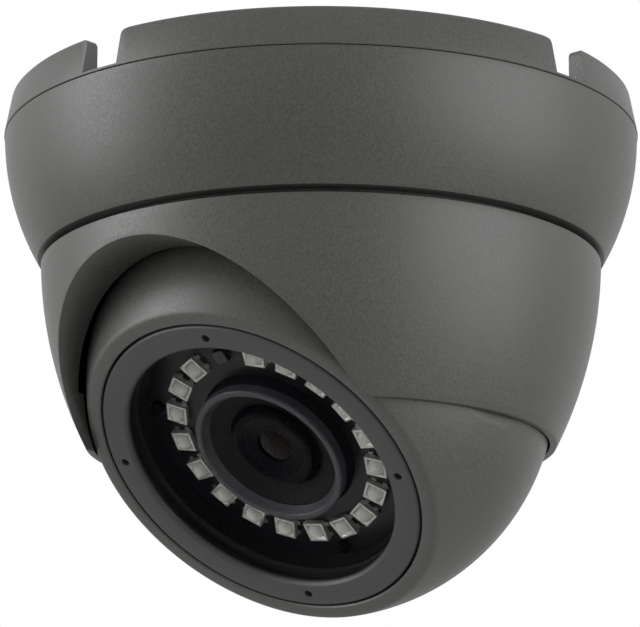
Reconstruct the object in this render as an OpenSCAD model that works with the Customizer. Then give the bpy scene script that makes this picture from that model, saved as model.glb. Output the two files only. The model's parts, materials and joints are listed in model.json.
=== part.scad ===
// Ceiling dome camera with a hooded swivel housing and a tilting eyeball.
// Origin: centre of the ceiling face. +Z is up into the ceiling, the eyeball looks towards -Y.
// Bodies: fixed base and cover, swivel housing (pan), eyeball (tilt), lens module (roll),
// lens (focus) and the filter blade (slide).

/* [Body] */
// diameter of the widest band of the cover
body_d = 94; // [90:1:114]
// depth of the notched rim above the joint with the cover
rim_h = 5.85; // [5:0.05:8]
// width of each cable notch in the rim
notch_w = 6.6; // [4:0.2:9]
// radial room between the widest band and the eyeball
side_room = 12.6; // [12.6:0.1:14]
// how far the cover's lip sits above the tilt axis
lip_rise = 18.1; // [17:0.1:22]
// how far the housing's hood reaches below the tilt axis
hood_drop = 9.7; // [8:0.1:12]
// wall of the swivel housing
wall = 2; // [1.6:0.1:2.4]
// radius of the arch cut in the front of the housing
arch_r = 26.8; // [22:0.2:28]

/* [Eyeball] */
// how far the lens looks below the horizontal at rest
tilt_down = 48; // [20:1:90]
// wall of the eyeball shell
shell_t = 2.2; // [1.8:0.1:2.8]
// outer radius of the front ring
ring_r = 25.4; // [24:0.1:26.4]
// radius of the opening in the front ring
window_r = 21.3; // [17.7:0.1:21.8]

/* [Light ring] */
// number of infrared emitters
led_count = 18; // [8:1:20]
// angle left free at the top for the light sensor
led_gap = 42; // [36:1:90]
// side of one emitter package
led_side = 3.3; // [2.4:0.02:3.96]

/* [Lens] */
// outer radius of the black hood round the lens
hood_r = 11.8; // [9.8:0.1:12.8]
// outer radius of the threaded lens barrel
barrel_r = 5.95; // [5:0.05:6.2]
// side of the sensor board
board_side = 38; // [34:0.5:40]
// travel of the filter blade
blade_travel = 6; // [5:0.5:6]

/* [Hidden] */
$fn = 96;
eps = 0.01;
// running gaps
ball_gap = 0.35;
ring_gap = 0.3;
neck_gap = 0.4;
collar_gap = 0.5;
head_gap = 1;
shadow_gap = 1;
lining_gap = 0.8;
thread_gap = 0.05;
// base
body_r = body_d / 2;
plate_t = 1.45;
plate_top = -rim_h + 0.4;
plate_bot = plate_top - plate_t;
bore_r = body_r - 3;
spigot_r = bore_r - 0.2;
rim_in = bore_r + 0.1;
bolt_r = 35;
bolt_hole = 2.3;
cable_y = 24;
cable_r = 5;
lock_a = [50, 130];
lock_z = plate_bot - 3.5;
lock_r = 1.2;
seal_z = lock_z + 2;
seal_t = 1;
seal_w = 1.3;
// heights of the cover and the swivel
ball_r = body_r - side_room;
zc = plate_bot - head_gap - ball_r;
cover_lip = zc + lip_rise;
shelf_top = cover_lip + 2;
shoulder = cover_lip - shadow_gap;
hood_lip = zc - hood_drop;
slip_t = 0.2;
ring_bot = plate_bot - 7.1;
ring_top = ring_bot + 1.4;
collar_bot = shelf_top + slip_t + 0.1;
collar_top = ring_bot - 0.3;
collar_r = bore_r - 2.6;
neck_r = collar_r - 2.1;
neck_in = neck_r - 2.1;
cover_curve = 5.2;
cover_top = -rim_h + 0.65;
cover_fall = cover_top - cover_lip;
cover_rho = (cover_fall * cover_fall + cover_curve * cover_curve) / (2 * cover_curve);
ring_screw_r = (collar_r + bore_r) / 2 + 0.05;
ring_screw_t = 0.7;
// bowl: an arc of one radius through the shoulder and the lip
bowl_curve = 62.8;
bowl_r = collar_r - 0.1;
void_r = ball_r + ball_gap;
lip_r = sqrt(void_r * void_r - hood_drop * hood_drop) + 1;
chord = [bowl_r - lip_r, shoulder - hood_lip];
chord_l = norm(chord);
bowl_sag = sqrt(bowl_curve * bowl_curve - chord_l * chord_l / 4);
bowl_x = (bowl_r + lip_r) / 2 - bowl_sag * chord[1] / chord_l;
bowl_z = (shoulder + hood_lip) / 2 + bowl_sag * chord[0] / chord_l;
step_z = zc - 2.2;
web_t = 2.2;
arch_z = hood_lip - 3.5;
// tilt pivots
flat_x = ball_r - 1.8;
ear_x = flat_x + 0.3;
ear_t = 1.2;
ear_r = 6;
pivot_r = 1.5;
pivot_gap = 0.06;
pivot_head_r = 2.6;
tab_top = collar_top - 1.5;
tab_x = neck_in - 0.7;
tab_screw_x = tab_x - 1.3;
tab_screw_y = 3;
tab_screw_r = 0.8;
tab_screw_l = 5.6;

// the eyeball's own frame: +Z is the lens axis, +X the tilt axis, +Y the top of the picture
module at_ball() {
    translate([0, 0, zc]) rotate([90 + tilt_down, 0, 0]) children();
}

module tube(ro, ri, z0, z1) {
    translate([0, 0, z0]) difference() {
        cylinder(r = ro, h = z1 - z0);
        translate([0, 0, -1]) cylinder(r = ri, h = z1 - z0 + 2);
    }
}

module rod(r, z0, z1) {
    translate([0, 0, z0]) cylinder(r = r, h = z1 - z0);
}

module spin(n, r, a0 = 0) {
    for (i = [0 : n - 1]) rotate(a0 + i * 360 / n) translate([r, 0, 0]) children();
}

// ---------------------------------------------------------------- fixed part

module notch_shape() {
    lead = 1.2;
    h = -plate_top;
    translate([-notch_w / 2, -h]) square([notch_w, h + 1]);
    difference() {
        translate([-notch_w / 2 - lead, -lead]) square([notch_w + 2 * lead, lead + 1]);
        for (s = [-1, 1]) translate([s * (notch_w / 2 + lead), -lead]) circle(r = lead);
    }
}

module base_plate() {
    color([0.36, 0.37, 0.35]) difference() {
        union() {
            rotate_extrude() {
                polygon([[rim_in, 0], [body_r - 1.3, 0], [body_r - 0.9, -0.4],
                    [body_r + 0.05, -rim_h], [rim_in, -rim_h]]);
                polygon([[0, plate_bot], [spigot_r, plate_bot], [spigot_r, -rim_h],
                    [rim_in + 0.5, -rim_h], [rim_in + 0.5, plate_top], [0, plate_top]]);
                translate([bore_r - 2.1, lock_z + 0.6])
                    square([1.9, plate_bot - lock_z]);
            }
            for (a = lock_a) rotate(a) translate([bore_r - 4.2, -3, lock_z - 1.9])
                cube([3.8, 6, plate_bot - lock_z + 2]);
            spin(4, bolt_r, 45) rod(4.5, plate_bot, 0);
        }
        for (a = [0 : 90 : 270]) rotate(a) translate([0, -rim_in + 1, 0])
            rotate([90, 0, 0]) linear_extrude(8) notch_shape();
        spin(4, bolt_r, 45) rod(bolt_hole, plate_bot - 1, 1);
        translate([0, cable_y, 0]) rod(cable_r, plate_bot - 1, 1);
        for (a = lock_a) rotate(a) translate([bore_r - 6, 0, lock_z])
            rotate([0, 90, 0]) cylinder(r = lock_r, h = 8);
        rotate_extrude() translate([bore_r - seal_w, seal_z]) square([2, seal_t]);
        difference() {
            rod(bore_r + 2, lock_z - 3, -rim_h - eps);
            rod(spigot_r, lock_z - 4, 0);
        }
    }
}

module base_seal() {
    c = 0.25;
    color([0.06, 0.06, 0.06]) rotate_extrude() translate([bore_r - seal_w, seal_z])
        polygon([[0, 0], [seal_w - c, 0], [seal_w, c], [seal_w, seal_t - c],
            [seal_w - c, seal_t], [0, seal_t]]);
}

module cover_outline() {
    intersection() {
        translate([body_r - cover_rho, cover_top]) circle(r = cover_rho, $fn = 360);
        polygon([[1, -rim_h], [body_d, -rim_h], [body_d, cover_lip], [1, cover_lip]]);
    }
}

module outer_cover() {
    color([0.36, 0.37, 0.35]) difference() {
        rotate_extrude() difference() {
            cover_outline();
            translate([0, cover_lip - 1]) square([neck_r + neck_gap, 60]);
            translate([0, shelf_top]) square([collar_r + collar_gap, 60]);
            translate([0, ring_bot]) square([bore_r, 60]);
        }
        spin(4, ring_screw_r) rod(ring_screw_t, ring_bot - 4, ring_bot + 1);
        for (a = lock_a) rotate(a) translate([bore_r - 2, 0, lock_z])
            rotate([0, 90, 0]) cylinder(r = lock_r, h = 8);
    }
}

module cover_screws() {
    color([0.5, 0.5, 0.5]) for (a = lock_a) rotate(a)
        translate([bore_r - 3.6, 0, lock_z]) rotate([0, 90, 0]) difference() {
            cylinder(r = lock_r, h = 5.4);
            translate([0, 0, 4]) cylinder(r = 0.75, h = 3, $fn = 6);
        }
}

module slip_ring() {
    color([0.9, 0.9, 0.88]) tube(collar_r + 0.3, neck_r + neck_gap + 0.1, shelf_top, shelf_top + slip_t);
}

module retaining_ring() {
    color([0.55, 0.56, 0.57]) difference() {
        union() {
            tube(spigot_r, neck_in - 0.2, ring_bot, ring_top);
            translate([-1.5, -neck_in - 0.6, ring_bot]) cube([3, 2.6, ring_top - ring_bot]);
        }
        spin(4, ring_screw_r) rod(ring_screw_t, ring_bot - 1, ring_top + 1);
    }
}

module retaining_screws() {
    color([0.6, 0.6, 0.6]) spin(4, ring_screw_r) difference() {
        union() {
            rod(ring_screw_t, ring_bot - 3.6, ring_top);
            rod(1.15, ring_top, ring_top + 1);
        }
        rod(0.4, ring_top + 0.5, ring_top + 2);
    }
}

module cable_grommet() {
    color([0.07, 0.07, 0.07]) translate([0, cable_y, 0]) difference() {
        union() {
            rod(cable_r + 1.8, plate_bot - 1.2, plate_bot);
            rod(cable_r, plate_bot - 1, plate_top + 0.5);
            rod(cable_r + 1.4, plate_top, plate_top + 1.2);
        }
        rod(2.8, plate_bot - 3, 1);
    }
}

// ------------------------------------------------------------ swivel housing

module bowl(inset = 0) {
    translate([bowl_x, bowl_z]) circle(r = bowl_curve - inset);
}

module housing_section() {
    wide = bowl_r + 10;
    difference() {
        union() {
            intersection() {
                bowl();
                translate([1, hood_lip]) square([wide, shoulder - hood_lip]);
            }
            translate([1, shoulder - 1]) square([neck_r - 1, collar_top - shoulder + 1]);
            translate([1, collar_bot]) square([collar_r - 1, collar_top - collar_bot]);
        }
        intersection() {
            bowl(wall);
            translate([0, step_z]) square([wide, shoulder - web_t - step_z]);
        }
        intersection() {
            translate([0, zc]) circle(r = void_r);
            translate([0, hood_lip - 1]) square([wide, step_z - hood_lip + 1 + eps]);
        }
        translate([0, shoulder - web_t - eps]) square([neck_in, 100]);
    }
}

// wall behind the arch's edge, closing the pocket towards the eyeball
module arch_lining() {
    intersection() {
        translate([0, -ball_r / 3, arch_z]) rotate([90, 0, 0])
            cylinder(r = arch_r + wall + 0.4, h = body_d);
        rotate_extrude() difference() {
            intersection() {
                bowl(wall / 2);
                translate([0, step_z - 0.5]) square([body_d, shoulder - web_t / 2 - step_z]);
            }
            translate([0, zc]) circle(r = void_r + lining_gap);
        }
    }
}

module swivel_housing() {
    lug_x = ear_x + ear_t + 0.3;
    color([0.36, 0.37, 0.35]) difference() {
        union() {
            rotate_extrude() housing_section();
            arch_lining();
            for (s = [0, 180]) rotate(s) translate([lug_x, -5, tab_top - ear_t - 5])
                cube([neck_in + 1 - lug_x, 10, 5]);
            translate([-1.5, neck_in - 2.2, collar_top - 3]) cube([3, 3.6, 3]);
            translate([-1.5, neck_in - 2.2, collar_top - 1]) cube([3, 1.6, 2.4]);
        }
        translate([0, 0, arch_z]) rotate([90, 0, 0]) cylinder(r = arch_r, h = body_d);
        for (s = [0, 180]) rotate(s) translate([0, 0, zc]) rotate([0, 90, 0]) {
            cylinder(r = ear_r + 0.4, h = ear_x + ear_t + 0.3);
            cylinder(r = pivot_head_r + 0.5, h = ear_x + ear_t + 1.7);
        }
        tab_screw_places() rod(tab_screw_r, tab_top - tab_screw_l, tab_top);
    }
}

module tab_screw_places() {
    for (s = [-1, 1]) for (t = [-1, 1]) translate([s * tab_screw_x, t * tab_screw_y, 0])
        children();
}

module tilt_bracket() {
    foot = tab_top - ear_t;
    difference() {
        union() {
            translate([ear_x, 0, zc]) rotate([0, 90, 0]) cylinder(r = ear_r, h = ear_t);
            translate([ear_x, -ear_r, zc]) cube([ear_t, 2 * ear_r, tab_top - zc]);
            translate([ear_x, -ear_r, foot]) cube([tab_x - ear_x, 2 * ear_r, ear_t]);
        }
        translate([ear_x - 1, 0, zc]) rotate([0, 90, 0])
            cylinder(r = pivot_r + pivot_gap, h = ear_t + 2);
        tab_screw_places() rod(tab_screw_r, foot - 1, tab_top + 1);
    }
}

module tilt_bracket_right() {
    color([0.62, 0.63, 0.65]) tilt_bracket();
}

module tilt_bracket_left() {
    color([0.62, 0.63, 0.65]) rotate(180) tilt_bracket();
}

module bracket_screws() {
    color([0.6, 0.6, 0.6]) tab_screw_places() difference() {
        union() {
            rod(tab_screw_r, tab_top - tab_screw_l, tab_top);
            rod(1.5, tab_top, tab_top + 1);
        }
        rod(0.5, tab_top + 0.4, tab_top + 2);
    }
}

module friction_washers() {
    color([0.9, 0.9, 0.88]) for (s = [0, 180]) rotate(s)
        translate([flat_x + 0.05, 0, zc]) rotate([0, 90, 0]) tube(5, 2, 0, ear_x - flat_x - 0.05);
}

// -------------------------------------------------------------------- eyeball

ball_in = ball_r - shell_t;
rim_land = 2.372;
face_h = sqrt(ball_r * ball_r - pow(ring_r + rim_land, 2));
seat_r = ring_r - 2.6;
ledge_r = seat_r + 0.6;
ledge_top = face_h - 5.7;
ledge_bot = face_h - 7.7;
split_h = -17.2;
split_in = sqrt(ball_in * ball_in - split_h * split_h);
cap_flat = -26.5;
cap_in = cap_flat + 2;
cap_screw_r = split_in - 5.22;
cap_screw_t = 1.2;
cap_seat = split_h - 2.6;
groove_in = split_in + 0.78;
groove_t = 0.6;
grommet_r = 4;

module boss_places() {
    spin(4, cap_screw_r, 45) children();
}

module ball_section() {
    wide = ball_r + 6;
    edge = ring_r + rim_land;
    difference() {
        intersection() {
            circle(r = ball_r);
            polygon([[0.5, split_h], [wide, split_h], [wide, face_h - 6],
                [edge + 0.6, face_h - 0.5], [edge - 0.4, face_h], [0.5, face_h]]);
        }
        intersection() {
            circle(r = ball_in);
            translate([0, -wide]) square([wide, wide + ledge_bot]);
        }
        translate([0, ledge_bot - 0.6]) square([ledge_r, 20]);
        translate([0, ledge_top]) square([ring_r + ring_gap, 20]);
    }
}

module pivot_axis(x0, x1, r) {
    for (s = [0, 180]) rotate(s) translate([x0, 0, 0]) rotate([0, 90, 0])
        cylinder(r = r, h = x1 - x0);
}

module ball_shell() {
    color([0.36, 0.37, 0.35]) at_ball() difference() {
        union() {
            rotate_extrude() ball_section();
            pivot_axis(flat_x - 2.4, flat_x, 9.5);
            pivot_axis(flat_x - 4.6, flat_x - 1.6, 4);
            intersection() {
                sphere(r = ball_r - shell_t / 2);
                boss_places() union() {
                    rod(3.2, split_h, split_h + 6.7);
                    translate([0, -1.2, split_h]) cube([9, 2.4, 5]);
                }
            }
        }
        for (s = [0, 180]) rotate(s) translate([flat_x, -15, -15]) cube([10, 30, 30]);
        pivot_axis(flat_x - 5.6, flat_x + 1.4, pivot_r);
        boss_places() rod(cap_screw_t, split_h - 1, split_h + 5.2);
    }
}

module ball_rear() {
    color([0.36, 0.37, 0.35]) at_ball() difference() {
        union() {
            rotate_extrude() difference() {
                intersection() {
                    circle(r = ball_r);
                    translate([0, cap_flat]) square([ball_r + 6, split_h - cap_flat]);
                }
                intersection() {
                    circle(r = ball_in);
                    translate([0, cap_in]) square([ball_r + 6, -cap_in]);
                }
            }
            intersection() {
                sphere(r = ball_r - 0.2);
                boss_places() rod(3.6, cap_flat + 0.5, split_h);
            }
        }
        boss_places() rod(cap_screw_t, cap_flat - 4, split_h + 7);
        boss_places() rod(2.5, cap_flat - 4, cap_seat);
        rod(grommet_r, cap_flat - 4, cap_in + 4);
        rotate_extrude() translate([groove_in, split_h - groove_t]) square([1, 1]);
    }
}

module ball_seal() {
    color([0.06, 0.06, 0.06]) at_ball() tube(groove_in + 1, groove_in,
        split_h - groove_t, split_h);
}

module ball_screws() {
    color([0.6, 0.6, 0.6]) at_ball() boss_places() difference() {
        union() {
            rod(cap_screw_t, cap_seat, split_h + 4.7);
            rod(2.2, cap_seat - 1.8, cap_seat);
        }
        translate([0, 0, cap_seat - 3.2]) cylinder(r = 1.1, h = 2.3, $fn = 6);
    }
}

module rear_grommet() {
    color([0.07, 0.07, 0.07]) at_ball() difference() {
        union() {
            rod(grommet_r + 1.6, cap_flat - 1.4, cap_flat);
            rod(grommet_r, cap_flat - 0.5, cap_in + 0.5);
            rod(grommet_r + 1.2, cap_in, cap_in + 1.2);
        }
        rod(2.3, cap_flat - 4, cap_in + 5);
    }
}

module pivot_screws() {
    head_x = ear_x + ear_t + 0.1;
    color([0.6, 0.6, 0.6]) translate([0, 0, zc]) for (s = [0, 180]) rotate(s)
        rotate([0, 90, 0]) difference() {
            union() {
                rod(pivot_r, flat_x - 3.6, head_x);
                rod(pivot_head_r, head_x, head_x + 1.2);
            }
            translate([0, 0, head_x + 0.4]) cylinder(r = 1.15, h = 2, $fn = 6);
        }
}

// ---------------------------------------------------------------- lens module

// heights in the module are counted from the sensor board's face
stack_h = 19.7;
glass_top = stack_h - 1;
glass_bot = glass_top - 1.8;
seal_bot = glass_bot - 0.8;
led_z = stack_h - 7.4;
led_top = led_z + 1;
led_in = hood_r + 0.5;
led_out = seat_r - 1.9;
led_pitch_r = (led_in + led_out) / 2 - 0.5;
led_screw_r = seat_r - 3.2;
led_screw_t = 0.7;
floor_bot = 4;
floor_top = floor_bot + 1.8;
pcb_t = 1.6;
post_xy = board_side / 2 - 5;
post_t = 0.9;
clip_top = stack_h - 8.1;
clip_bot = clip_top - 1;
spanner_r = (ring_r + window_r) / 2 - 0.05;
holder_h = 3.6;
tube_top = 9.6;
slot_z = 1.9;
slot_h = 1.1;
lock_top = tube_top + 1.2;
blade_w = 8.2;
pane_x = 5;
pane_y = 6;

module at_module() {
    at_ball() translate([0, 0, face_h - stack_h]) children();
}

module front_ring() {
    back = stack_h - 5.3;
    color([0.29, 0.3, 0.29]) at_module() difference() {
        rotate_extrude() polygon([[seat_r, back], [ring_r, back], [ring_r, stack_h - 0.3],
            [ring_r - 0.3, stack_h], [window_r + 0.5, stack_h], [window_r, stack_h - 0.5],
            [window_r, glass_top], [seat_r, glass_top]]);
        spin(4, spanner_r, -13.2) rod(0.6, stack_h - 0.9, stack_h + 1);
    }
}

module window() {
    color([0.05, 0.05, 0.06, 0.6]) at_module() rod(seat_r - 0.1, glass_bot, glass_top);
}

module window_seal() {
    color([0.07, 0.07, 0.07]) at_module() tube(seat_r - 0.1, seat_r - 1.4,
        seal_bot, glass_bot);
}

module module_carrier() {
    slot_y = board_side / 2 - 2.5;
    color([0.1, 0.1, 0.1]) at_module() difference() {
        rotate_extrude() difference() {
            translate([8, floor_bot]) square([seat_r - 0.02 - 8, seal_bot - floor_bot]);
            translate([0, floor_top]) square([seat_r - 4.9, 40]);
            translate([0, led_z]) square([led_out + 0.1, 40]);
            translate([seat_r - 0.6, clip_bot]) square([5, clip_top - clip_bot]);
        }
        spin(3, led_screw_r, 30) rod(led_screw_t, led_z - 4, led_z + 1);
        post_places() rod(post_t, floor_bot - 1, floor_top - 0.4);
        translate([-4, slot_y, floor_bot - 1]) cube([8, 1.8, 4]);
    }
}

module roll_clip() {
    color([0.5, 0.5, 0.5]) at_module() difference() {
        tube(seat_r + 2, seat_r - 0.58, clip_bot + 0.02, clip_top - 0.02);
        translate([-3, -30, clip_bot - 1]) cube([6, 15, 4]);
    }
}

module led_board() {
    color([0.05, 0.09, 0.06]) at_module() difference() {
        tube(led_out, led_in - 0.1, led_z, led_top);
        spin(3, led_screw_r, 30) rod(led_screw_t, led_z - 1, led_top + 1);
    }
}

module led_places() {
    step = (360 - led_gap) / (led_count - 1);
    for (i = [0 : led_count - 1]) rotate(90 + led_gap / 2 + i * step)
        translate([led_pitch_r, 0, led_top]) children();
}

module ir_leds() {
    s = led_side;
    color([0.78, 0.78, 0.74]) at_module() led_places() union() {
        translate([-s / 2, -s / 2, 0]) cube([s, s, 1]);
        intersection() {
            translate([0, 0, 0.7]) sphere(r = s * 0.36);
            translate([-s / 2, -s / 2, 0.9]) cube(s);
        }
    }
}

module light_sensor() {
    color([0.2, 0.2, 0.22]) at_module() translate([-1, led_pitch_r - 1, led_top])
        cube([2, 2, 0.8]);
}

module led_screws() {
    color([0.6, 0.6, 0.6]) at_module() spin(3, led_screw_r, 30) union() {
        rod(led_screw_t, led_z - 3.6, led_top);
        rod(1.2, led_top, led_top + 0.8);
    }
}

module lens_hood() {
    throat = barrel_r + 1.25;
    color([0.12, 0.12, 0.13]) at_module() rotate_extrude() polygon([[hood_r - 1, floor_top],
        [hood_r, floor_top], [hood_r, glass_bot - 0.1], [hood_r - 0.8, glass_bot - 0.1],
        [throat, lock_top + 1.2], [throat, lock_top + 0.4], [hood_r - 1, lock_top + 3.8]]);
}

module lens_holder() {
    color([0.09, 0.09, 0.09]) at_module() difference() {
        union() {
            translate([-12, -8, 0]) cube([24, 16, holder_h]);
            rod(barrel_r + 1.55, holder_h - 0.2, tube_top);
        }
        translate([-4.8, -3.6, -1]) cube([9.6, 7.2, slot_z + 1.5]);
        translate([-10.4, -blade_w / 2 - 0.3, slot_z]) cube([20.8, blade_w + 0.6, slot_h]);
        rod(barrel_r + thread_gap, slot_z + 0.5, tube_top + 2);
    }
}

module lens_lock_ring() {
    color([0.75, 0.6, 0.3]) at_module() tube(barrel_r + 2.1, barrel_r + thread_gap,
        tube_top, lock_top);
}

module ir_cut_actuator() {
    color([0.12, 0.12, 0.14]) at_module() translate([-5, 8, 0]) cube([10, 3.5, 3.4]);
}

module post_places() {
    for (x = [-1, 1]) for (y = [-1, 1]) translate([x * post_xy, y * post_xy, 0])
        children();
}

module sensor_board() {
    h = board_side / 2;
    c = 4;
    color([0.05, 0.25, 0.12]) at_module() difference() {
        translate([0, 0, -pcb_t]) linear_extrude(pcb_t) polygon([[h, h - c],
            [h - c, h], [c - h, h], [-h, h - c], [-h, c - h], [c - h, -h], [h - c, -h],
            [h, c - h]]);
        post_places() rod(post_t, -3, 3);
    }
}

module image_sensor() {
    color([0.15, 0.15, 0.2]) at_module() translate([-4.5, -3.4, 0]) cube([9, 6.8, 1.3]);
}

module standoffs() {
    color([0.8, 0.7, 0.4]) at_module() post_places() tube(2.1, post_t, 0, floor_bot);
}

module board_screws() {
    color([0.6, 0.6, 0.6]) at_module() post_places() difference() {
        union() {
            rod(post_t, -pcb_t, floor_top - 0.4);
            rod(1.7, -pcb_t - 1.2, -pcb_t);
        }
        rod(0.6, -pcb_t - 2, -pcb_t - 0.7);
    }
}

module connector() {
    top = -pcb_t;
    color([0.9, 0.9, 0.85]) at_module() difference() {
        translate([-6, -12, top - 4]) cube([12, 5, 4]);
        translate([-5.2, -11.2, top - 5]) cube([10.4, 3.4, 4]);
    }
}

module board_ribbon() {
    color([0.8, 0.8, 0.78]) at_module() translate([-3, board_side / 2 - 1.8, 0])
        cube([6, 0.35, led_z]);
}

// ----------------------------------------------------------------------- lens

module lens_barrel() {
    head = lock_top + 0.5;
    tip = lock_top + 4.4;
    color([0.06, 0.06, 0.06]) at_module() difference() {
        union() {
            rod(barrel_r, slot_z + slot_h + 0.4, head + 0.1);
            rod(barrel_r + 0.6, head, tip);
        }
        rod(4, 2, tip + 5);
        translate([0, 0, tip - 1]) cylinder(r1 = 4, r2 = 5.3, h = 1.1);
    }
}

module lens_glass() {
    color([0.1, 0.12, 0.2]) at_module() intersection() {
        rod(4, slot_z + slot_h + 0.6, lock_top + 4);
        translate([0, 0, lock_top - 6.1]) sphere(r = 9.8);
    }
}

// ---------------------------------------------------------------- filter blade

module filter_frame() {
    z = slot_z + 0.15;
    color([0.08, 0.08, 0.08]) at_module() difference() {
        translate([-pane_x / 2 - blade_travel - 1.1, -blade_w / 2, z])
            cube([pane_x + blade_travel + 2.2, blade_w, slot_h - 0.3]);
        for (x = [-blade_travel, 0]) translate([x - pane_x / 2, -pane_y / 2, z - 1])
            cube([pane_x, pane_y, 3]);
    }
}

module ir_cut_filter() {
    color([0.3, 0.6, 0.6]) at_module() translate([-pane_x / 2, -pane_y / 2, slot_z + 0.25])
        cube([pane_x, pane_y, 0.6]);
}

module clear_filter() {
    color([0.8, 0.85, 0.85]) at_module() translate([-pane_x / 2 - blade_travel,
        -pane_y / 2, slot_z + 0.25]) cube([pane_x, pane_y, 0.6]);
}

base_plate();
base_seal();
outer_cover();
cover_screws();
slip_ring();
retaining_ring();
retaining_screws();
cable_grommet();
swivel_housing();
tilt_bracket_left();
tilt_bracket_right();
bracket_screws();
friction_washers();
ball_shell();
ball_rear();
ball_seal();
ball_screws();
rear_grommet();
pivot_screws();
front_ring();
window();
window_seal();
module_carrier();
roll_clip();
led_board();
ir_leds();
light_sensor();
led_screws();
lens_hood();
lens_holder();
lens_lock_ring();
ir_cut_actuator();
sensor_board();
image_sensor();
standoffs();
board_screws();
connector();
board_ribbon();
lens_barrel();
lens_glass();
filter_frame();
ir_cut_filter();
clear_filter();
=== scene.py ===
import json
import math

import bpy
from mathutils import Matrix, Vector


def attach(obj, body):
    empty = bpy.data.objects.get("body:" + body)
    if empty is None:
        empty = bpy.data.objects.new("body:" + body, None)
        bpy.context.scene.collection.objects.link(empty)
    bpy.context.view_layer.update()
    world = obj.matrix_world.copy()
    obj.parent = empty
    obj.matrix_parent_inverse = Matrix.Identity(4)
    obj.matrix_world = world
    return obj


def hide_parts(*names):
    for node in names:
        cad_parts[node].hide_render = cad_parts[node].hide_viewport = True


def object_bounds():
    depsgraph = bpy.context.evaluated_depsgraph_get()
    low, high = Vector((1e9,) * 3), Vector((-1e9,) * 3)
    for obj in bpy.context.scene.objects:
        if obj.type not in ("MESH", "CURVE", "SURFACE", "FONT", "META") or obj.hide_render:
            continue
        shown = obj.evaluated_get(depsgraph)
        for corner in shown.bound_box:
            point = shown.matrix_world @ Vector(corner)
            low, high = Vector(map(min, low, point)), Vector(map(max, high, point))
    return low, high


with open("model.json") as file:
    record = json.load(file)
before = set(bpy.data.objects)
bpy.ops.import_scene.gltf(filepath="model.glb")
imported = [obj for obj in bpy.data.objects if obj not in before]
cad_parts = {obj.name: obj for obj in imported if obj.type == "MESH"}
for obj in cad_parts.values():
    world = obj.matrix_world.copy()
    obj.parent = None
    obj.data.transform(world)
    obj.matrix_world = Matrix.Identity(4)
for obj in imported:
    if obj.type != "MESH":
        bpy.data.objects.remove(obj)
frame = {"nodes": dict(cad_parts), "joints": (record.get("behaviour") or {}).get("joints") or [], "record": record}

bl_info = {
    "name": "Dome camera builder",
    "version": (1, 0, 0),
    "blender": (4, 5, 0),
    "location": "View3D > Sidebar > Dome camera",
    "description": "Models the visible pieces of a ceiling dome camera round its packed frame",
    "category": "Object",
}

MM = 0.001
CAD_BOX = [list(c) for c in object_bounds()]
JOINT = {j["name"]: j for j in frame["joints"]}
BALL = Vector(JOINT["tilt"]["pos_m"])
LENS_AXIS = Vector(JOINT["roll"]["axis"]).normalized()
SIDE = Vector((1, 0, 0))
# the eyeball's own frame: +Z out of the lens, +X along the tilt axis
EYE = Matrix.Translation(BALL) @ Matrix(
    (SIDE, LENS_AXIS.cross(SIDE), LENS_AXIS)).transposed().to_4x4()
ROUND = 144

# heights over the origin that several pieces share, in mm
TILT_Z = -42.3
COVER_LIP = -24.2
SHOULDER = -25.2
HOOD_LIP = -52.0
ARCH_Z = -55.5
LOCK_Z = -10.4
# the housing's bowl: centre and radius of its arc
BOWL = (-21.47, -23.27, 62.8)
# in the eyeball's frame
FACE = 20.3
GLASS_TOP = 19.3
BOARD_TOP = 13.9
SPLIT = -17.1
BALL_GAP = 0.35

# camera, as fitted to the photo
VIEW_AZ, VIEW_EL = 41.3, -17.8
DISTANCE = 0.5247
FOCAL_PX, PHOTO_PX = 3500, 640


# ------------------------------------------------------------------ colour

def linear(hex_code, alpha=1.0):
    """sRGB hex value as a linear RGBA colour."""
    out = []
    for i in (1, 3, 5):
        c = int(hex_code[i:i + 2], 16) / 255
        out.append(c / 12.92 if c <= 0.04045 else ((c + 0.055) / 1.055) ** 2.4)
    return (*out, alpha)


# --------------------------------------------------------------- materials

def add(tree, kind, settings=None, links=None):
    """Adds one node with its settings, and links other nodes' outputs to its inputs."""
    node = tree.nodes.new(kind)
    for key, value in (settings or {}).items():
        if isinstance(key, str) and hasattr(node, key):
            setattr(node, key, value)
        else:
            node.inputs[key].default_value = value
    for key, source in (links or {}).items():
        tree.links.new(source, node.inputs[key])
    return node


def blank(name):
    """A new material with an output, a shader and Object coordinates."""
    mat = bpy.data.materials.get(name) or bpy.data.materials.new(name)
    mat.use_nodes = True
    tree = mat.node_tree
    tree.nodes.clear()
    out = add(tree, "ShaderNodeOutputMaterial")
    shader = add(tree, "ShaderNodeBsdfPrincipled")
    tree.links.new(shader.outputs[0], out.inputs[0])
    place = add(tree, "ShaderNodeTexCoord").outputs["Object"]
    return mat, tree, shader, place


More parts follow.
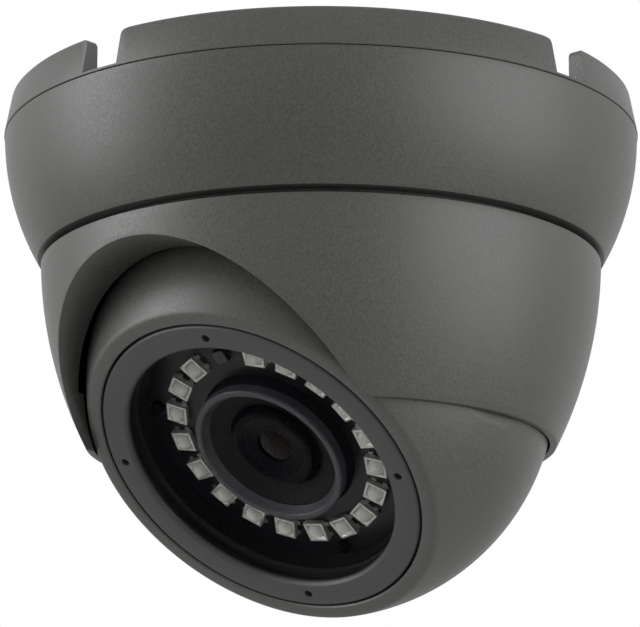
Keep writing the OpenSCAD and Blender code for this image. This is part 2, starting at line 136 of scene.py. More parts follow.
def powder_coat(name, low, high, grain_mm, rough, depth):
    """Polyester powder baked on die-cast aluminium: a satin skin that is finely sandy,
    because the grains melt together without quite levelling."""
    mat, tree, shader, place = blank(name)
    grain = add(tree, "ShaderNodeTexNoise", {"Scale": 1 / (grain_mm * MM), "Detail": 2.0,
                "Roughness": 0.55}, {"Vector": place})
    swell = add(tree, "ShaderNodeTexNoise", {"Scale": 1 / (2.4 * MM), "Detail": 1.0},
                {"Vector": place})
    cloud = add(tree, "ShaderNodeTexNoise", {"Scale": 1 / (26 * MM), "Detail": 3.0},
                {"Vector": place})
    both = add(tree, "ShaderNodeMath", {"operation": "MULTIPLY_ADD", 1: 0.35},
               {0: cloud.outputs[0], 2: grain.outputs[0]})
    tint = add(tree, "ShaderNodeValToRGB", links={0: both.outputs[0]})
    tint.color_ramp.elements[0].position = 0.45
    tint.color_ramp.elements[1].position = 0.9
    tint.color_ramp.elements[0].color = linear(low)
    tint.color_ramp.elements[1].color = linear(high)
    gloss = add(tree, "ShaderNodeMapRange", {1: 0.3, 2: 0.7, 3: rough - 0.06, 4: rough + 0.08},
                {0: grain.outputs[0]})
    peel = add(tree, "ShaderNodeBump", {"Strength": 0.25, "Distance": 0.00004},
               {"Height": swell.outputs[0]})
    sand = add(tree, "ShaderNodeBump", {"Strength": depth, "Distance": 0.00006},
               {"Height": grain.outputs[0], "Normal": peel.outputs[0]})
    tree.links.new(tint.outputs[0], shader.inputs["Base Color"])
    tree.links.new(gloss.outputs[0], shader.inputs["Roughness"])
    tree.links.new(sand.outputs[0], shader.inputs["Normal"])
    shader.inputs["IOR"].default_value = 1.5
    return mat


def moulded(name, low, high, rough, grain_mm, depth=0.15, ior=1.47, extra=None):
    """Injection-moulded or cast stock: even colour with a faint mottling, and the fine
    texture of the tool on its face."""
    mat, tree, shader, place = blank(name)
    grain = add(tree, "ShaderNodeTexNoise", {"Scale": 1 / (grain_mm * MM), "Detail": 2.0},
                {"Vector": place})
    tint = add(tree, "ShaderNodeValToRGB", links={0: grain.outputs[0]})
    tint.color_ramp.elements[0].position = 0.3
    tint.color_ramp.elements[1].position = 0.7
    tint.color_ramp.elements[0].color = linear(low)
    tint.color_ramp.elements[1].color = linear(high)
    gloss = add(tree, "ShaderNodeMapRange", {1: 0.3, 2: 0.7, 3: rough - 0.05, 4: rough + 0.05},
                {0: grain.outputs[0]})
    skin = add(tree, "ShaderNodeBump", {"Strength": depth, "Distance": 0.00004},
               {"Height": grain.outputs[0]})
    tree.links.new(tint.outputs[0], shader.inputs["Base Color"])
    tree.links.new(gloss.outputs[0], shader.inputs["Roughness"])
    tree.links.new(skin.outputs[0], shader.inputs["Normal"])
    shader.inputs["IOR"].default_value = ior
    for key, value in (extra or {}).items():
        shader.inputs[key].default_value = value
    return mat


def machined(name, colour, rough, stretch=(1, 1, 12), pitch_mm=0.25, extra=None):
    """Turned or rolled metal: fine tool lines that stretch the highlight."""
    mat, tree, shader, place = blank(name)
    run = add(tree, "ShaderNodeMapping", {"Scale": stretch}, {"Vector": place})
    lines = add(tree, "ShaderNodeTexNoise", {"Scale": 1 / (pitch_mm * MM) / 4, "Detail": 3.0},
                {"Vector": run.outputs[0]})
    gloss = add(tree, "ShaderNodeMapRange", {1: 0.3, 2: 0.7, 3: rough - 0.08, 4: rough + 0.1},
                {0: lines.outputs[0]})
    marks = add(tree, "ShaderNodeBump", {"Strength": 0.12, "Distance": 0.00003},
                {"Height": lines.outputs[0]})
    tree.links.new(gloss.outputs[0], shader.inputs["Roughness"])
    tree.links.new(marks.outputs[0], shader.inputs["Normal"])
    shader.inputs["Base Color"].default_value = linear(colour)
    shader.inputs["Metallic"].default_value = 1.0
    for key, value in (extra or {}).items():
        shader.inputs[key].default_value = value
    return mat


def clear(name, colour, alpha, rough=0.02, ior=1.5, extra=None):
    """Polished glass: a clear body with a mirror-like skin, and a trace of dust."""
    mat, tree, shader, place = blank(name)
    dust = add(tree, "ShaderNodeTexNoise", {"Scale": 1 / (0.6 * MM), "Detail": 4.0},
               {"Vector": place})
    gloss = add(tree, "ShaderNodeMapRange", {1: 0.55, 2: 0.8, 3: rough, 4: rough + 0.05},
                {0: dust.outputs[0]})
    tree.links.new(gloss.outputs[0], shader.inputs["Roughness"])
    shader.inputs["Base Color"].default_value = linear(colour)
    shader.inputs["Alpha"].default_value = alpha
    shader.inputs["IOR"].default_value = ior
    for key, value in (extra or {}).items():
        shader.inputs[key].default_value = value
    return mat


def circuit_board(name, mask, track):
    """Glass-fibre board under solder mask: glossy, with the copper tracks showing
    through as slightly raised lighter lines."""
    mat, tree, shader, place = blank(name)
    turn = add(tree, "ShaderNodeMapping", {"Scale": (1 / (2.2 * MM),) * 3}, {"Vector": place})
    cells = add(tree, "ShaderNodeTexVoronoi", {"feature": "DISTANCE_TO_EDGE",
                "distance": "EUCLIDEAN", "Scale": 1.0, "Randomness": 0.35},
                {"Vector": turn.outputs[0]})
    edge = add(tree, "ShaderNodeMapRange", {1: 0.05, 2: 0.09, 3: 1.0, 4: 0.0},
               {0: cells.outputs["Distance"]})
    tint = add(tree, "ShaderNodeValToRGB", links={0: edge.outputs[0]})
    tint.color_ramp.elements[0].color = linear(mask)
    tint.color_ramp.elements[1].color = linear(track)
    rise = add(tree, "ShaderNodeBump", {"Strength": 0.2, "Distance": 0.00003},
               {"Height": edge.outputs[0]})
    tree.links.new(tint.outputs[0], shader.inputs["Base Color"])
    tree.links.new(rise.outputs[0], shader.inputs["Normal"])
    shader.inputs["Roughness"].default_value = 0.3
    shader.inputs["Specular IOR Level"].default_value = 0.3
    return mat


def make_materials():
    """One material for each material slot of the record, named for what it is and how
    it was made."""
    look = bpy.context.scene.dome_looks
    return {
        "powder_coat": powder_coat("Powder coat, baked", look.coat_low, look.coat_high,
                                   0.36, 0.46, 0.38),
        "ring_coat": powder_coat("Ring enamel, sprayed", look.ring_low, look.ring_high,
                                 0.3, 0.5, 0.25),
        "seal_rubber": moulded("Nitrile rubber, moulded", "#111111", "#191919", 0.6, 0.4),
        # the silicone rubber's grey is set lighter than the rubber's own colour: partly a painted highlight for
        # the light the hood's rim catches near the window
        "hood_rubber": moulded("Silicone rubber, moulded, lightened for painted highlight", "#2e2f33", "#3c3d42", 0.45, 0.5,
                               0.3),
        "screw_steel": machined("Stainless steel, turned", "#b4b4b2", 0.3),
        "plated_steel": machined("Zinc-plated steel, rolled", "#a9abae", 0.38,
                                 (1, 6, 1)),
        "bearing_plastic": moulded("Acetal, moulded", "#dcdcd4", "#e8e8e0", 0.4, 0.8),
        "window_glass": clear("Tinted glass, coated", look.glass, look.glass_tint, 0.01,
                              extra={"Specular IOR Level": 0.08,
                                     "Specular Tint": linear("#7f8fd0")}),
        "black_plastic": moulded("ABS, moulded black", "#040405", "#070708", 0.55, 0.35,
                                 0.05, extra={"Specular IOR Level": 0.16}),
        "led_board": circuit_board("Black solder mask, cured", "#050606", "#0a0b0c"),
        "led_package": moulded("Emitter lead frame, silvered", "#a9a9a4", "#d2d2cc", 0.35, 0.5,
                               0.8, extra={"Metallic": 0.7, "Coat Weight": 0.4,
                                           "Coat Roughness": 0.1}),
        "sensor_dark": clear("Smoked epoxy, cast", "#101118", 0.95, 0.1),
        "brass_ring": machined("Brass, blackened", "#2a2622", 0.4),
        "green_board": circuit_board("Green solder mask, cured", "#0d3a1d", "#1a5a30"),
        "white_plastic": moulded("Nylon, moulded white", "#d8d7cc", "#e6e5dc", 0.45, 0.5),
        "ribbon": moulded("Polyester film, laminated", "#cfcdc0", "#e0ded4", 0.35, 0.6),
        "black_metal": machined("Aluminium, black anodised", "#0c0c0e", 0.4, (1, 1, 10)),
        "lens_glass": clear("Lens glass, coated", "#0b0808", 0.8, 0.02, 1.6,
                            {"Specular Tint": linear("#b08a6a"),
                             "Specular IOR Level": 0.15}),
        "filter_glass": clear("Filter glass, coated", "#2f8f80", 0.5, 0.02),
        "clear_glass": clear("Clear glass, polished", "#e2e4dc", 0.42, 0.12),
    }


# ---------------------------------------------------------------- modelling

def fresh():
    """Leaves edit mode and selects nothing."""
    if bpy.context.mode != "OBJECT":
        bpy.ops.object.mode_set(mode="OBJECT")
    bpy.ops.object.select_all(action="DESELECT")


def only(obj):
    """Makes one object the selected and active one."""
    fresh()
    obj.select_set(True)
    bpy.context.view_layer.objects.active = obj


def arc(cx, cz, radius, start, end, count):
    """Points on a circle's arc in the r-z plane, between two angles in degrees."""
    out = []
    for i in range(count + 1):
        a = math.radians(start + (end - start) * i / count)
        out.append((cx + radius * math.cos(a), cz + radius * math.sin(a)))
    return out


def rise(cx, cz, radius, z0, z1, count):
    """Points on a circle's right-hand side, evenly spaced by angle between two heights."""
    a0 = math.degrees(math.asin((z0 - cz) / radius))
    a1 = math.degrees(math.asin((z1 - cz) / radius))
    return arc(cx, cz, radius, a0, a1, count)


def lathe(name, outline, steps=ROUND):
    """Extrudes a point along a closed outline, in mm, and spins it round the Z axis."""
    fresh()
    bpy.ops.mesh.primitive_plane_add(size=MM)
    obj = bpy.context.object
    obj.name = name
    bpy.ops.object.mode_set(mode="EDIT")
    bpy.ops.mesh.select_mode(type="VERT")
    bpy.ops.mesh.select_all(action="SELECT")
    bpy.ops.mesh.merge(type="CENTER")
    r, z = outline[0]
    bpy.ops.transform.translate(value=(r * MM, 0, z * MM))
    for nr, nz in outline[1:] + outline[:1]:
        bpy.ops.mesh.extrude_vertices_move(TRANSFORM_OT_translate={
            "value": ((nr - r) * MM, 0, (nz - z) * MM)})
        r, z = nr, nz
    bpy.ops.mesh.select_all(action="SELECT")
    bpy.ops.mesh.spin(steps=steps, angle=2 * math.pi, center=(0, 0, 0), axis=(0, 0, 1))
    tidy_mesh()
    return obj


def tidy_mesh(gap=2e-6):
    """Merges doubled points and turns every face outwards, in edit mode."""
    bpy.ops.mesh.select_all(action="SELECT")
    bpy.ops.mesh.remove_doubles(threshold=gap)
    bpy.ops.mesh.select_all(action="SELECT")
    bpy.ops.mesh.normals_make_consistent(inside=False)
    bpy.ops.object.mode_set(mode="OBJECT")


def apply(obj, kind, **settings):
    """Adds a modifier and applies it."""
    only(obj)
    mod = obj.modifiers.new(kind.title(), kind)
    for key, value in settings.items():
        setattr(mod, key, value)
    bpy.ops.object.modifier_apply(modifier=mod.name)


def block(name, size, centre, turn=(0, 0, 0)):
    """A box of a size in mm round a centre in mm."""
    fresh()
    bpy.ops.mesh.primitive_cube_add(size=1, location=[c * MM for c in centre],
                                    rotation=turn)
    obj = bpy.context.object
    obj.name = name
    obj.scale = [s * MM for s in size]
    bpy.ops.object.transform_apply(location=True, rotation=True, scale=True)
    return obj


def rod(name, radius, low, high, at=(0, 0), sides=48, top=None):
    """A cylinder or cone along Z, between two heights in mm."""
    fresh()
    bpy.ops.mesh.primitive_cone_add(
        vertices=sides, radius1=radius * MM, radius2=(radius if top is None else top) * MM,
        depth=(high - low) * MM, location=(at[0] * MM, at[1] * MM, (low + high) / 2 * MM))
    obj = bpy.context.object
    obj.name = name
    bpy.ops.object.transform_apply(location=True, rotation=True, scale=True)
    return obj


def combine(obj, tools, operation="DIFFERENCE"):
    """Cuts or joins tool shapes into a piece and throws the tools away."""
    for tool in tools:
        apply(obj, "BOOLEAN", object=tool, operation=operation, solver="EXACT")
        bpy.data.objects.remove(tool)


def moved(obj, matrix):
    """Places an object by a matrix and puts the place into its mesh."""
    only(obj)
    obj.matrix_world = matrix
    bpy.context.view_layer.update()
    bpy.ops.object.transform_apply(location=True, rotation=True, scale=True)
    return obj


def soften(obj, width=0.2, segments=2, angle=35):
    """Rounds the sharp edges and shades the rest smooth."""
    if width:
        apply(obj, "BEVEL", width=width * MM, segments=segments, limit_method="ANGLE",
              angle_limit=math.radians(angle), harden_normals=False,
              use_clamp_overlap=True, miter_outer="MITER_ARC")
    only(obj)
    bpy.ops.object.shade_smooth_by_angle(angle=math.radians(angle))


def copies(obj, matrices, name):
    """Copies of one modelled shape, each with its own mesh, joined as one piece."""
    made = []
    for matrix in matrices:
        twin = obj.copy()
        twin.data = obj.data.copy()
        bpy.context.collection.objects.link(twin)
        made.append(moved(twin, matrix))
    bpy.data.objects.remove(obj)
    fresh()
    for twin in made:
        twin.select_set(True)
    bpy.context.view_layer.objects.active = made[0]
    if len(made) > 1:
        bpy.ops.object.join()
    whole = bpy.context.object
    whole.name = name
    return whole


def hand_over(obj, body, slot, *nodes):
    """Gives a piece its finish, its body and the nodes that it stands for."""
    obj.data.materials.clear()
    obj.data.materials.append(LOOKS[slot])
    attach(obj, body)
    if nodes:
        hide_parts(*nodes)
    return obj


def around(count, radius, start=0.0):
    """Turned places on a circle round Z, radius in mm and start in degrees."""
    return [Matrix.Rotation(math.radians(start + i * 360 / count), 4, "Z")
            @ Matrix.Translation((radius * MM, 0, 0)) for i in range(count)]


LOOKS = {}


# ------------------------------------------------------------- the user's sizes

class DomeSizes(bpy.types.PropertyGroup):
    """Sizes of the visible pieces, in mm."""
    body_r: bpy.props.FloatProperty(
        name="Cover radius", description="Radius of the widest band", min=40,
        default=round((CAD_BOX[1][0] - CAD_BOX[0][0]) / 2 / MM, 2))
    ball_r: bpy.props.FloatProperty(
        name="Eyeball radius", description="Radius of the tilting ball", default=34.4)
    arch_r: bpy.props.FloatProperty(
        name="Arch radius", description="Radius of the arch in the housing", default=26.8)
    edge: bpy.props.FloatProperty(
        name="Edge rounding", description="Radius left on cast edges by the coating",
        default=0.35, min=0.05, max=0.6)
    window_r: bpy.props.FloatProperty(
        name="Window radius", description="Radius of the opening in the front ring",
        default=21.3)
    led_count: bpy.props.IntProperty(
        name="Emitters", description="Number of infrared emitters", default=18, min=3)
    led_gap: bpy.props.FloatProperty(
        name="Sensor gap", description="Angle left free for the light sensor, in degrees",
        default=42)
    led_pitch_r: bpy.props.FloatProperty(
        name="Emitter circle", description="Radius of the circle of emitters",
        default=16.1)
    hood_r: bpy.props.FloatProperty(
        name="Hood radius", description="Outer radius of the hood round the lens",
        default=11.8)


class DomeLooks(bpy.types.PropertyGroup):
    """Colours of the finishes."""
    coat_low: bpy.props.StringProperty(
        name="Coat, low", description="Powder coat in the hollows", default="#2a2c29")
    coat_high: bpy.props.StringProperty(
        name="Coat, high", description="Powder coat on the grains", default="#3a3c38")
    ring_low: bpy.props.StringProperty(
        name="Ring, low", description="Ring enamel in the hollows", default="#1d1f1e")
    ring_high: bpy.props.StringProperty(
        name="Ring, high", description="Ring enamel on the grains", default="#262826")
    glass: bpy.props.StringProperty(
        name="Glass", description="Tint of the window", default="#08090b")
    glass_tint: bpy.props.FloatProperty(
        name="Glass depth", description="How dark the window is", default=0.12,
        min=0, max=1, subtype="FACTOR")


# ------------------------------------------------------------------- operators

class DOME_OT_stage(bpy.types.Operator):
    """Camera, soft lights and a pale floor"""
    bl_idname = "dome.stage"
    bl_label = "Stage"

    def execute(self, context):
        scene = context.scene
        azimuth, elevation = math.radians(VIEW_AZ), math.radians(VIEW_EL)
        back = Vector((math.sin(azimuth) * math.cos(elevation),
                       -math.cos(azimuth) * math.cos(elevation), math.sin(elevation)))
        right = Vector((math.cos(azimuth), math.sin(azimuth), 0))
        up = back.cross(right)
        data = bpy.data.cameras.new("Camera")
        camera = bpy.data.objects.new("Camera", data)
        scene.collection.objects.link(camera)
        scene.camera = camera
        data.sensor_width = 36
        data.lens = data.sensor_width * FOCAL_PX / PHOTO_PX
        data.clip_start, data.clip_end = 0.01, 20
        camera.location = back * DISTANCE
        aim = -back - up * (205.5 / FOCAL_PX) - right * (1 / FOCAL_PX)
        camera.rotation_mode = "QUATERNION"
        forward = aim.normalized()
        side = forward.cross(up).normalized()
        camera.rotation_quaternion = Matrix(
            (side, side.cross(forward), -forward)).transposed().to_quaternion()
        scene.view_settings.view_transform = "Standard"

        world = bpy.data.worlds.new("Studio")
        scene.world = world
        world.use_nodes = True
        world.node_tree.nodes["Background"].inputs[0].default_value = (1, 1, 1, 1)
        world.node_tree.nodes["Background"].inputs[1].default_value = 1.0

        for name in ("Cube", "Light"):
            if name in bpy.data.objects and name not in frame["nodes"]:
                bpy.data.objects.remove(bpy.data.objects[name])
        fresh()
        bpy.ops.mesh.primitive_plane_add(size=6, location=(0, 0, -0.4))
        floor = context.object
        floor.name = "floor"
        mat, _, shader, _ = blank("Floor, painted pale")
        shader.inputs["Base Color"].default_value = (0.56, 0.56, 0.55, 1)
        shader.inputs["Roughness"].default_value = 0.7
        floor.data.materials.append(mat)

        def lamp(name, place, size, power, aim_at=Vector((0, 0, -0.035))):
            light = bpy.data.lights.new(name, "AREA")
            light.shape = "RECTANGLE"
            light.size, light.size_y = size
            light.energy = power
            obj = bpy.data.objects.new(name, light)
            scene.collection.objects.link(obj)
            obj.location = place
            obj.rotation_mode = "QUATERNION"
            obj.rotation_quaternion = (aim_at - Vector(place)).to_track_quat("-Z", "Y")

        left, out = -right, back
        lamp("key_left", left * 0.6 + out * 0.08 + Vector((0, 0, 0.15)), (0.3, 0.6), 3.6)
        lamp("key_right", right * 0.55 + out * 0.3 + Vector((0, 0, 0.12)), (0.6, 0.5), 3.4)
        return {"FINISHED"}


class DOME_OT_materials(bpy.types.Operator):
    """One procedural material for each slot of the record"""
    bl_idname = "dome.materials"
    bl_label = "Materials"

    def execute(self, context):
        LOOKS.update(make_materials())
        return {"FINISHED"}


class DOME_OT_base(bpy.types.Operator):
    """Base: notched rim, plate, ceiling screw posts"""
    bl_idname = "dome.base"
    bl_label = "Base"

    def execute(self, context):
        size = context.scene.dome_sizes
        outer = size.body_r + 0.05
        base = lathe("base", [
            (0, -5.45), (44.1, -5.45), (44.1, 0), (45.7, 0), (46.1, -0.4),
            (outer, -5.75), (outer - 0.1, -5.85), (43.8, -5.9), (43.8, -8.4),
            (42.7, -8.4), (42.7, -9.4), (43.8, -9.4), (43.8, -9.75), (41.9, -9.75),
            (41.9, -6.9), (0, -6.9)], 180)
        posts = [moved(rod("post", 4.5, -6.7, 0), m) for m in around(4, 35, 45)]
        combine(base, posts, "UNION")
        holes = [moved(rod("hole", 2.3, -9, 1), m) for m in around(4, 35, 45)]
        holes.append(rod("hole", 5, -9, 1, (0, 24)))
        for i in range(4):
            notch = self.notch()
            holes.append(moved(notch, Matrix.Rotation(i * math.pi / 2, 4, "Z")))
        combine(base, holes)
        soften(base, size.edge * 0.7, 2, 40)
        hand_over(base, "mount", "powder_coat", "base_plate")
        return {"FINISHED"}

    def notch(self):
        """A cutter whose upper corners flare out, so the rim's corners are rounded."""
        half, lead = 3.3, 1.2
        tool = block("notch", (2 * half, 9, 7), (0, -46, -1.95))
        flare = block("flare", (2 * (half + lead), 9, 3), (0, -46, 1.5 - lead))
        rounds = []
        for s in (-1, 1):
            cutter = rod("round", lead, -6, 6, sides=32)
            rounds.append(moved(cutter, Matrix.Translation(
                (s * (half + lead) * MM, -46 * MM, -lead * MM))
                @ Matrix.Rotation(math.pi / 2, 4, "X")))
        combine(flare, rounds)
        combine(tool, [flare], "UNION")
        return tool


class DOME_OT_cover(bpy.types.Operator):
    """Outer cover: curved skirt with a turned-in lip"""
    bl_idname = "dome.cover"
    bl_label = "Cover"

    def execute(self, context):
        size = context.scene.dome_sizes
        rho = 37.31
        skirt = rise(47 - rho, -5.2, rho, COVER_LIP, -5.98, 22)
        cover = lathe("cover", skirt + [(44, -5.98), (44, -14), (41.9, -14),
                                        (41.9, -22.2), (39.7, -22.2),
                                        (39.7, COVER_LIP)], 180)
        holes = []
        for a in (50, 130):
            turn = Matrix.Rotation(math.radians(a), 4, "Z")
            tip = Matrix.Translation((44 * MM, 0, LOCK_Z * MM)) @ Matrix.Rotation(
                math.pi / 2, 4, "Y")
            holes.append(moved(rod("hole", 1.25, -3, 6), turn @ tip))
        combine(cover, holes)
        soften(cover, size.edge, 3, 40)
        hand_over(cover, "mount", "powder_coat", "outer_cover")
        return {"FINISHED"}


class DOME_OT_housing(bpy.types.Operator):
    """Swivel housing: hooded bowl with the arch in its front"""
    bl_idname = "dome.housing"
    bl_label = "Swivel housing"

    def execute(self, context):
        size = context.scene.dome_sizes
        cx, cz, r = BOWL
        bowl = rise(cx, cz, r, HOOD_LIP, SHOULDER, 22)
        ball = rise(0, TILT_Z, size.ball_r + BALL_GAP, HOOD_LIP, -44.5, 8)
        pocket = rise(cx, cz, r - 2, -44.5, -27.4, 12)
        housing = lathe("housing", bowl + [
            (39.3, SHOULDER), (39.3, -21.9), (41.4, -21.9), (41.4, -14.3), (37.2, -14.3),
            (37.2, -27.4)] + pocket[::-1] + ball[::-1], 192)
        # the wall behind the arch's edge, which closes the pocket towards the eyeball
        lining = lathe("lining", rise(cx, cz, r - 1, -45, -26.8, 14)
                       + rise(0, TILT_Z, size.ball_r + BALL_GAP + 0.8, -45, -26.8, 14)[::-1], 192)
        core = moved(rod("core", size.arch_r + 2.4, 11.5, 60, sides=160),
                     Matrix.Translation((0, 0, ARCH_Z * MM))
                     @ Matrix.Rotation(math.pi / 2, 4, "X"))
        combine(lining, [core], "INTERSECT")
        combine(housing, [lining], "UNION")
        arch = rod("arch", size.arch_r, 0, 60, sides=160)
        moved(arch, Matrix.Translation((0, 0, ARCH_Z * MM))
              @ Matrix.Rotation(math.pi / 2, 4, "X"))
        sockets = []
        for a in (0, math.pi):
            for radius, reach in ((6.4, 34.4), (3.1, 35.8)):
                sockets.append(moved(rod("socket", radius, 0, reach), Matrix.Rotation(
                    a, 4, "Z") @ Matrix.Translation((0, 0, TILT_Z * MM))
                    @ Matrix.Rotation(math.pi / 2, 4, "Y")))
        combine(housing, [arch] + sockets)
        lugs = [block("lug", (4.5, 10, 5), (s * 36.65, 0, -19.5)) for s in (-1, 1)]
        lugs.append(block("lug", (3, 3.4, 3), (0, 36.8, -15.8)))
        lugs.append(block("lug", (3, 1.6, 2.4), (0, 35.8, -14.1)))
        combine(housing, lugs, "UNION")
        apply(housing, "WELD", merge_threshold=0.00004)
        soften(housing, size.edge * 0.8, 2, 40)
        hand_over(housing, "swivel", "powder_coat", "swivel_housing")
        return {"FINISHED"}


class DOME_OT_eyeball(bpy.types.Operator):
    """Eyeball shell with its plain front rim and pivot flats"""
    bl_idname = "dome.eyeball"
    bl_label = "Eyeball"

    def execute(self, context):
        size = context.scene.dome_sizes
        r = size.ball_r
        front = math.degrees(math.asin(19.6 / r))
        split = math.degrees(math.asin(SPLIT / r))
        outside = arc(0, 0, r, split, front, 40)
        inside = rise(0, 0, 32.2, SPLIT, 12.6, 16)
        shell = lathe("eyeball", outside + [(27.9, 20.1), (27.4, FACE), (25.9, FACE),
                      (25.7, 20.1), (25.7, 14.6), (23.4, 14.6), (23.4, 12.6)]
                      + inside[::-1], 160)
        flats = [block("flat", (10, 30, 30), (s * 37.6, 0, 0)) for s in (-1, 1)]
        pads = [moved(rod("pad", 9.5, 30.4, 32.6), Matrix.Rotation(a, 4, "Z")
                      @ Matrix.Rotation(math.pi / 2, 4, "Y")) for a in (0, math.pi)]
        combine(shell, pads, "UNION")
        combine(shell, flats)
        moved(shell, EYE)
        soften(shell, 0.12, 2, 40)
        hand_over(shell, "eyeball", "powder_coat", "ball_shell")
        return {"FINISHED"}


class DOME_OT_front_ring(bpy.types.Operator):
    """Front ring with its spanner holes"""
    bl_idname = "dome.front_ring"
    bl_label = "Front ring"

    def execute(self, context):
        opening = context.scene.dome_sizes.window_r
        ring = lathe("bezel_ring", [
            (22.8, 15), (25.4, 15), (25.4, 20.0), (25.15, FACE), (opening + 0.5, FACE),
            (opening + 0.1, 19.9), (opening, GLASS_TOP), (22.8, GLASS_TOP)], 160)
        holes = [moved(rod("hole", 0.6, 19.4, 21, sides=24), m)
                 for m in around(4, 23.3, -13.2)]
        combine(ring, holes)
        moved(ring, EYE)
        soften(ring, 0.12, 2, 40)
        hand_over(ring, "lens_module", "ring_coat", "front_ring")
        return {"FINISHED"}


class DOME_OT_window(bpy.types.Operator):
    """Flat tinted window with a ground edge"""
    bl_idname = "dome.window"
    bl_label = "Window"

    def execute(self, context):
        pane = lathe("window_pane", [(0, 17.5), (22.5, 17.5), (22.7, 17.7), (22.7, 19.1),
                                     (22.5, GLASS_TOP), (0, GLASS_TOP)], 96)
        moved(pane, EYE)
        soften(pane, 0, angle=30)
        hand_over(pane, "lens_module", "window_glass", "window")
        return {"FINISHED"}


class DOME_OT_emitters(bpy.types.Operator):
    """Ring of infrared emitters: white package, cup and clear dome"""
    bl_idname = "dome.emitters"
    bl_label = "Emitters"

    def execute(self, context):
        size = context.scene.dome_sizes
        step = (360 - size.led_gap) / (size.led_count - 1)
        spots = [EYE @ Matrix.Rotation(math.radians(90 + size.led_gap / 2 + i * step), 4, "Z")
                 @ Matrix.Translation((size.led_pitch_r * MM, 0, BOARD_TOP * MM))
                 for i in range(size.led_count)]
        body = block("package", (3.3, 3.3, 1.0), (0, 0, 0.5))
        only(body)
        bpy.ops.object.mode_set(mode="EDIT")
        bpy.ops.mesh.select_all(action="DESELECT")
        bpy.ops.object.mode_set(mode="OBJECT")
        for face in body.data.polygons:
            face.select = face.normal.z > 0.9
        bpy.ops.object.mode_set(mode="EDIT")
        bpy.ops.mesh.select_mode(type="FACE")
        bpy.ops.mesh.inset(thickness=0.35 * MM)
        bpy.ops.mesh.extrude_region_move(TRANSFORM_OT_translate={
            "value": (0, 0, -0.45 * MM)})
        bpy.ops.transform.resize(value=(0.8, 0.8, 1))
        bpy.ops.object.mode_set(mode="OBJECT")
        apply(body, "BEVEL", width=0.12 * MM, segments=2, limit_method="ANGLE",
              angle_limit=math.radians(40))
        body.data.materials.append(LOOKS["led_package"])
        tabs = [block("tab", (0.7, 0.5, 0.12), (x, y, 0.06))
                for x in (-0.9, 0.9) for y in (-1.85, 1.85)]
        fresh()
        for tab in tabs:
            tab.select_set(True)
        bpy.context.view_layer.objects.active = tabs[0]
        bpy.ops.object.join()
        hand_over(copies(bpy.context.object, spots, "emitter_tabs"), "lens_module",
                  "screw_steel")
        fresh()
        packs = copies(body, spots, "emitter_packages")
        soften(packs, 0)
        hand_over(packs, "lens_module", "led_package", "ir_leds")
        domes = copies(lathe("dome", [(0, 0.5), (1.3, 0.5)] + arc(0, 0.6, 1.3, 0, 90, 8),
                             24), spots, "emitter_domes")
        soften(domes, 0)
        hand_over(domes, "lens_module", "clear_glass")
        heads = [EYE @ Matrix.Rotation(math.radians(a), 4, "Z")
                 @ Matrix.Translation((19.6 * MM, 0, 0)) for a in (30, 150, 270)]
        screw = lathe("screw", [(0, 10.3), (0.68, 10.3), (0.68, BOARD_TOP), (1.2, BOARD_TOP),
                                (1.2, 14.3), (1.0, 14.6), (0, 14.7)], 24)
        combine(screw, [block("slot", (1.6, 0.25, 0.6), (0, 0, 14.7)),
                        block("slot", (0.25, 1.6, 0.6), (0, 0, 14.7))])
        screws = copies(screw, heads, "emitter_screws")
        soften(screws, 0)
        hand_over(screws, "lens_module", "black_metal", "led_screws")
        return {"FINISHED"}


class DOME_OT_hood(bpy.types.Operator):
    """Hood round the lens, with a soft lip pressed towards the window: the hood's near-black partly paints the
    shade inside its funnel, and the lip's light grey partly paints a highlight
    """
    bl_idname = "dome.hood"
    bl_label = "Lens hood"

    def execute(self, context):
        out = context.scene.dome_sizes.hood_r
        hood = lathe("hood", [(7.2, 11.8), (out - 1, 15.2), (out - 1, 6.4),
                              (out - 0.05, 6.4), (out - 0.05, 16.0), (out - 1.6, 16.0),
                              (out - 2.2, 15.7), (7.9, 14.9), (7.2, 14.6)], 128)
        moved(hood, EYE)
        soften(hood, 0.1, 2, 40)
        # near-black ABS on the hood body: black plastic, and also painted shade for the dark inside of the funnel
        hand_over(hood, "lens_module", "black_plastic", "lens_hood")
        lip = lathe("hood_lip", [(out, 15.7)] + arc(out - 0.4, 17.0, 0.4, 0, 90, 5)
                    + arc(out - 0.7, 17.0, 0.4, 90, 170, 5)
                    + [(out - 1.7, 15.9), (out - 1.2, 15.7)], 128)
        moved(lip, EYE)
        soften(lip, 0)
        # lighter grey rubber on the lip: partly the rubber's colour, partly a painted highlight where the rim
        # catches light near the window
        hand_over(lip, "lens_module", "hood_rubber")
        return {"FINISHED"}


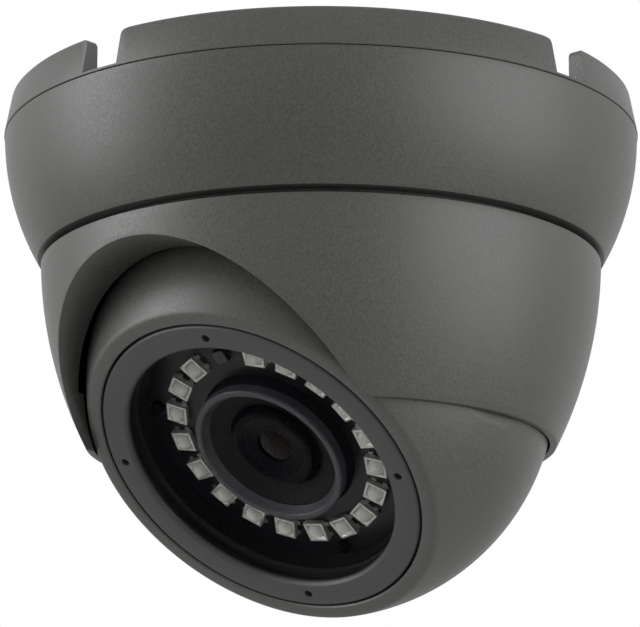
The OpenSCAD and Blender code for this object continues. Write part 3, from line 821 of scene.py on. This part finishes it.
class DOME_OT_lens(bpy.types.Operator):
    """Lens barrel with turned rings, and its domed front glass"""
    bl_idname = "dome.lens"
    bl_label = "Lens"

    def execute(self, context):
        ribs = []
        z = 4.2
        while z < 11.6:
            ribs += [(5.7, z), (5.95, z + 0.12), (5.95, z + 0.3), (5.7, z + 0.42)]
            z += 0.5
        barrel = lathe("lens_barrel_turned", [(4, 4)] + ribs + [
            (5.7, 11.9), (6.55, 11.9), (6.55, 15.5), (6.3, 15.8), (5.5, 15.8),
            (5.3, 15.6), (5.1, 15.6), (4.95, 15.35), (3.0, 15.05), (2.85, 14.95),
            (2.85, 14.8), (4.0, 14.4)], 96)
        moved(barrel, EYE)
        soften(barrel, 0.04, 2, 40)
        hand_over(barrel, "lens", "black_metal", "lens_barrel")
        dome = arc(0, 5.3, 9.8, 90, math.degrees(math.acos(3.98 / 9.8)), 10)
        front = lathe("lens_element", dome[::-1][:-1] + [(0, 15.1), (0, 12.2), (3.98, 12.2)],
                      64)
        moved(front, EYE)
        soften(front, 0, angle=40)
        hand_over(front, "lens", "lens_glass", "lens_glass")
        return {"FINISHED"}


class DOME_OT_finishes(bpy.types.Operator):
    """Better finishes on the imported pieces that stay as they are"""
    bl_idname = "dome.finishes"
    bl_label = "Finishes"

    def execute(self, context):
        slots = {s["node"]: s["material_slot"] for s in frame["record"]["subparts"]}
        for name, node in frame["nodes"].items():
            for place in node.material_slots:
                place.material = LOOKS[slots[name]]
        return {"FINISHED"}


class DOME_PT_panel(bpy.types.Panel):
    """The builder's buttons and sizes"""
    bl_idname = "DOME_PT_panel"
    bl_label = "Dome camera"
    bl_space_type = "VIEW_3D"
    bl_region_type = "UI"
    bl_category = "Dome camera"

    def draw(self, context):
        for group in (context.scene.dome_sizes, context.scene.dome_looks):
            for key in group.__annotations__:
                self.layout.prop(group, key)
        for cls in STEPS:
            self.layout.operator(cls.bl_idname)


STEPS = (DOME_OT_stage, DOME_OT_materials, DOME_OT_finishes, DOME_OT_base,
         DOME_OT_cover, DOME_OT_housing, DOME_OT_eyeball,
         DOME_OT_front_ring, DOME_OT_window, DOME_OT_emitters, DOME_OT_hood, DOME_OT_lens)
CLASSES = (DomeSizes, DomeLooks) + STEPS + (DOME_PT_panel,)


def register():
    for cls in CLASSES:
        bpy.utils.register_class(cls)
    bpy.types.Scene.dome_sizes = bpy.props.PointerProperty(type=DomeSizes)
    bpy.types.Scene.dome_looks = bpy.props.PointerProperty(type=DomeLooks)


def unregister():
    del bpy.types.Scene.dome_looks
    del bpy.types.Scene.dome_sizes
    for cls in reversed(CLASSES):
        bpy.utils.unregister_class(cls)


def main():
    register()
    for cls in STEPS:
        group, name = cls.bl_idname.split(".")
        getattr(getattr(bpy.ops, group), name)()


if __name__ == "__main__":
    main()
